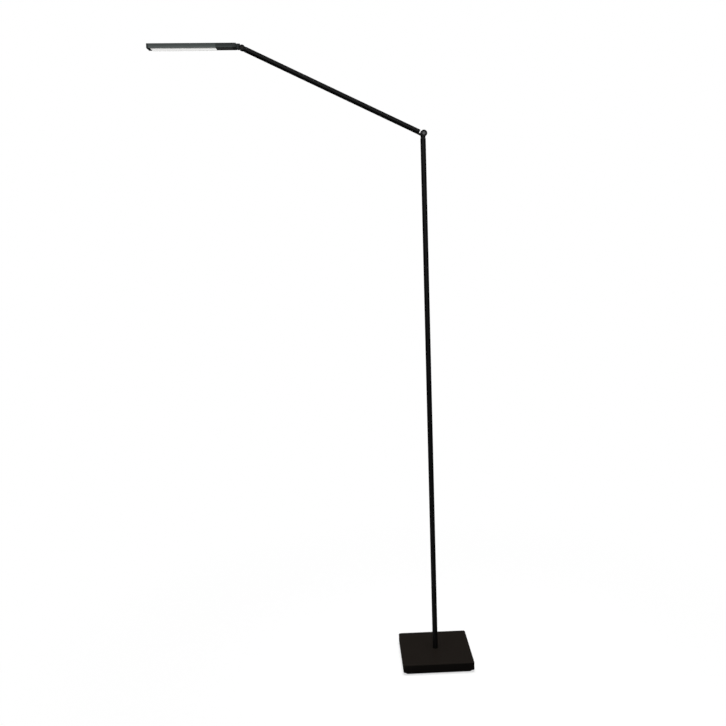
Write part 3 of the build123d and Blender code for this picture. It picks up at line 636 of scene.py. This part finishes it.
def base_cover():
    """The pressed steel cover: a square cap with rounded corners, and holes for the stem and the inlet."""
    bottom_edge = square(BASE_SIDE - 2 * FINE_EDGE, BASE_CORNER)
    outer = square(BASE_SIDE, BASE_CORNER)
    inner = square(BASE_SIDE - 2 * COVER_WALL, BASE_CORNER - COVER_WALL)
    stem_hole = [(STEM_HOLE_R * u / math.hypot(u, v), STEM_HOLE_R * v / math.hypot(u, v)) for u, v in outer]
    rings = [ring_on_z(bottom_edge, COVER_BOTTOM), ring_on_z(outer, COVER_BOTTOM + FINE_EDGE)]
    for inset, height in arc((COVER_EDGE, BASE_HEIGHT - COVER_EDGE), COVER_EDGE, 180, 90, COVER_EDGE_STEPS):
        rings.append(ring_on_z(square(BASE_SIDE - 2 * inset, BASE_CORNER - inset), height))
    rings.append(ring_on_z(stem_hole, BASE_HEIGHT))
    rings.append(ring_on_z(stem_hole, BASE_HEIGHT - COVER_WALL))
    rings.append(ring_on_z(inner, BASE_HEIGHT - COVER_WALL))
    rings.append(ring_on_z(inner, COVER_BOTTOM))
    cover = mesh_object("base_cover_shell", skin(rings, closed_loop=True), STAND_PLACE)
    wall = BASE_SIDE / 2
    hole_from = Vector((wall - JACK_HOLE_REACH, 0, JACK_Z))
    hole_to = Vector((wall + JACK_HOLE_REACH, 0, JACK_Z))
    carve(cover, [rod(JACK_HOLE_R, hole_from, hole_to)])
    finish_piece(cover, "stand", "base_cover")


def jack_nut():
    """The inlet's ring nut, knurled round its rim."""
    knurled = (
        (JACK_NUT_R - NUT_RIM_EDGE, 0.0),
        (JACK_NUT_R, NUT_BORE_EDGE),
        (JACK_NUT_R, JACK_NUT_THICK - NUT_FACE_EDGE),
    )
    plain = (
        (JACK_NUT_R - NUT_FACE_EDGE, JACK_NUT_THICK),
        (JACK_NOSE_R + NUT_RIM_EDGE, JACK_NUT_THICK),
        (JACK_NOSE_R, JACK_NUT_THICK - NUT_BORE_EDGE),
        (JACK_NOSE_R, 0.0),
    )
    count = 4 * KNURLS
    rings = []
    for radius, height in knurled + plain:
        ring = []
        for i in range(count):
            turn = math.tau * i / count
            depth = KNURL_DEPTH if i % 4 in (2, 3) and (radius, height) in knurled else 0.0
            reach = radius - depth
            ring.append(Vector((height, reach * math.cos(turn), reach * math.sin(turn))))
        rings.append(ring)
    place = Matrix.Translation(Vector((BASE_SIDE / 2, 0, JACK_Z)) * MM)
    nut = mesh_object("jack_ring_nut", skin(rings, closed_loop=True), place)
    finish_piece(nut, "stand", "jack_nut", sharp=25.0)


# ---------------------------------------------------------------- tubes

def tube_profile(length):
    """A tube's wall as a loop of (radius, height), with its four rims broken."""
    outside = TUBE_R - TUBE_LIP
    inside = TUBE_BORE_R + TUBE_LIP
    top = length - TUBE_LIP
    return (
        arc((outside, TUBE_LIP), TUBE_LIP, -90, 0, TUBE_LIP_STEPS)
        + arc((outside, top), TUBE_LIP, 0, 90, TUBE_LIP_STEPS)
        + arc((inside, top), TUBE_LIP, 90, 180, TUBE_LIP_STEPS)
        + arc((inside, TUBE_LIP), TUBE_LIP, 180, 270, TUBE_LIP_STEPS)
    )


def screw_holes(tube, screws, side):
    """Set-screw holes in a tube, at the places along it where the set screws are."""
    cuts = []
    for along in screws:
        hole_from = Vector((0, side * SCREW_HOLE_START, along))
        hole_to = Vector((0, side * SCREW_HOLE_END, along))
        cuts.append(rod(SCREW_HOLE_R, hole_from, hole_to))
    carve(tube, cuts)


def pole_tube(name, node, screws):
    """One length of the pole, with a set-screw hole at each height given."""
    low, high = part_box(node)
    length = (high[2] - low[2]) / MM
    tube = mesh_object(name, turned(tube_profile(length)), Matrix.Translation((0, 0, low[2])))
    screw_holes(tube, [height - low[2] / MM for height in screws], 1)
    finish_piece(tube, "stand", node)


def arm_tube():
    """The arm's tube, with a set-screw hole halfway along the plug at each end."""
    start = Matrix.Translation(Vector((ARM_TUBE_START, 0, -ARM_DROP)) * MM)
    along_x = Matrix.Rotation(math.radians(90), 4, "Y")
    length = ARM_TUBE_END - ARM_TUBE_START
    tube = mesh_object("arm_tube_body", turned(tube_profile(length)), ARM_PLACE @ start @ along_x)
    screw_holes(tube, [ARM_PLUG / 2, length - ARM_PLUG / 2], -1)
    finish_piece(tube, "arm", "arm_tube")


# ---------------------------------------------------------------- head

def head_outline(inset):
    """The head's outer section, drawn in by an inset."""
    return rounded_rectangle(HEAD_WIDTH - 2 * inset, HEAD_THICK - 2 * inset, HEAD_EDGE, EDGE_STEPS)


def channel_outline():
    """The head's C section, open downwards: outer skin, then back along the inside."""
    bottom = -HEAD_THICK / 2
    roof = HEAD_THICK / 2 - HEAD_ROOF
    inner = HEAD_WIDTH / 2 - HEAD_WALL
    side = HEAD_WIDTH / 2 - HEAD_EDGE
    rise = HEAD_THICK / 2 - HEAD_EDGE
    outside = (
        arc((side, -rise), HEAD_EDGE, -90, 0, EDGE_STEPS)
        + arc((side, rise), HEAD_EDGE, 0, 90, EDGE_STEPS)
        + arc((-side, rise), HEAD_EDGE, 90, 180, EDGE_STEPS)
        + arc((-side, -rise), HEAD_EDGE, 180, 270, EDGE_STEPS)
    )
    inside = [
        (-inner - FINE_EDGE, bottom),
        (-inner, bottom + FINE_EDGE),
        (-inner, roof),
        (inner, roof),
        (inner, bottom + FINE_EDGE),
        (inner + FINE_EDGE, bottom),
    ]
    return outside + inside


def head_shell():
    """The head's long channel, with four blind screw holes in its roof."""
    outline = channel_outline()
    rings = [ring_on_x(outline, SHELL_START), ring_on_x(outline, SHELL_END)]
    shell = mesh_object("head_channel", skin(rings), HEAD_PLACE)
    holes = []
    for x in HEAD_SCREW_XS:
        for y in HEAD_SCREW_SIDES:
            top = HEAD_THICK / 2 - HEAD_ROOF + HEAD_SCREW_BITE
            holes.append(rod(HEAD_SCREW_R, Vector((x, y, 0)), Vector((x, y, top)), SMALL_HOLE_SEGMENTS))
    carve(shell, holes)
    finish_piece(shell, "head", "head_shell")


def head_rear_cap():
    """The rear end cap: a broken front edge, a groove round it, and a plug that fits inside the channel."""
    groove_end = CAP_GROOVE + CAP_GROOVE_SIZE
    steps = (
        (CAP_START, CAP_RIM),
        (CAP_START + CAP_RIM, 0.0),
        (CAP_GROOVE - FINE_EDGE / 2, 0.0),
        (CAP_GROOVE, FINE_EDGE),
        (CAP_GROOVE, CAP_GROOVE_SIZE),
        (groove_end, CAP_GROOVE_SIZE),
        (groove_end, FINE_EDGE),
        (groove_end + FINE_EDGE / 2, 0.0),
        (SHELL_START, 0.0),
    )
    plug_low = -HEAD_THICK / 2 + PANEL_THICK + PART_FIT
    plug_high = HEAD_THICK / 2 - HEAD_ROOF - PART_FIT
    middle = (plug_low + plug_high) / 2
    section = rounded_rectangle(FITTED_WIDTH, plug_high - plug_low, FINE_EDGE, EDGE_STEPS)
    plug = [(u, v + middle) for u, v in section]
    rings = [ring_on_x(head_outline(inset), x) for x, inset in steps]
    rings += [ring_on_x(plug, SHELL_START), ring_on_x(plug, CAP_PLUG_END)]
    cap = mesh_object("head_rear_end", skin(rings), HEAD_PLACE)
    hole_from = Vector((CAP_START - CUT_ROOM, 0, 0))
    hole_to = Vector((CAP_PLUG_END + CUT_ROOM, 0, 0))
    carve(cap, [rod(STUB_HOLE_R, hole_from, hole_to)])
    finish_piece(cap, "head", "head_rear_cap")


def diffuser():
    """The opal strip: a bar with softly rounded lower edges."""
    length = DIFFUSER_END - PANEL_END
    low = -HEAD_THICK / 2 - DIFFUSER_PROUD
    rings = []
    for inset, height in arc((DIFFUSER_EDGE, low + DIFFUSER_EDGE), DIFFUSER_EDGE, 270, 180, EDGE_STEPS):
        ring = rounded_rectangle(length - 2 * inset, FITTED_WIDTH - 2 * inset, DIFFUSER_CORNER, EDGE_STEPS)
        rings.append(ring_on_z(ring, height))
    top = rounded_rectangle(length, FITTED_WIDTH, DIFFUSER_CORNER, EDGE_STEPS)
    rings.append(ring_on_z(top, -HEAD_THICK / 2 + PANEL_THICK))
    middle = Matrix.Translation(Vector((PANEL_END + length / 2, 0, 0)) * MM)
    strip = mesh_object("diffuser_strip", skin(rings), HEAD_PLACE @ middle)
    finish_piece(strip, "head", "diffuser")


def dimmer_button():
    """A round push button with a dished face and a flange behind the panel."""
    face = -HEAD_THICK / 2 - BUTTON_PROUD
    flange = -HEAD_THICK / 2 + PANEL_THICK + BUTTON_FLANGE_GAP
    flange_top = flange + BUTTON_FLANGE_THICK
    profile = []
    for i in range(BUTTON_DISH_STEPS + 1):
        share = i / BUTTON_DISH_STEPS
        profile.append((BUTTON_R * BUTTON_DISH_SHARE * share, face + BUTTON_DISH * (1 - share ** 2)))
    profile += arc((BUTTON_R - BUTTON_EDGE, face + BUTTON_EDGE), BUTTON_EDGE, -80, 0, BUTTON_EDGE_STEPS)
    profile += [
        (BUTTON_R, flange),
        (BUTTON_FLANGE_R, flange),
        (BUTTON_FLANGE_R, flange_top),
        (0.0, flange_top),
    ]
    bm = turned(profile, BUTTON_SEGMENTS)
    bmesh.ops.remove_doubles(bm, verts=bm.verts, dist=MERGE_DISTANCE)
    bmesh.ops.dissolve_degenerate(bm, edges=bm.edges, dist=MERGE_DISTANCE / 10)
    place = HEAD_PLACE @ Matrix.Translation(Vector((BUTTON_X, 0, 0)) * MM)
    button = mesh_object("dimmer_push_button", bm, place)
    finish_piece(button, "button", "dimmer_button")


base_cover()
jack_nut()
pole_tube("lower_pole_tube", "lower_pole", (FOOT_SCREW_Z, JOINT_HEIGHT - COUPLER_HALF / 2))
pole_tube("upper_pole_tube", "upper_pole", (JOINT_HEIGHT + COUPLER_HALF / 2,))
arm_tube()
head_shell()
head_rear_cap()
diffuser()
dimmer_button()
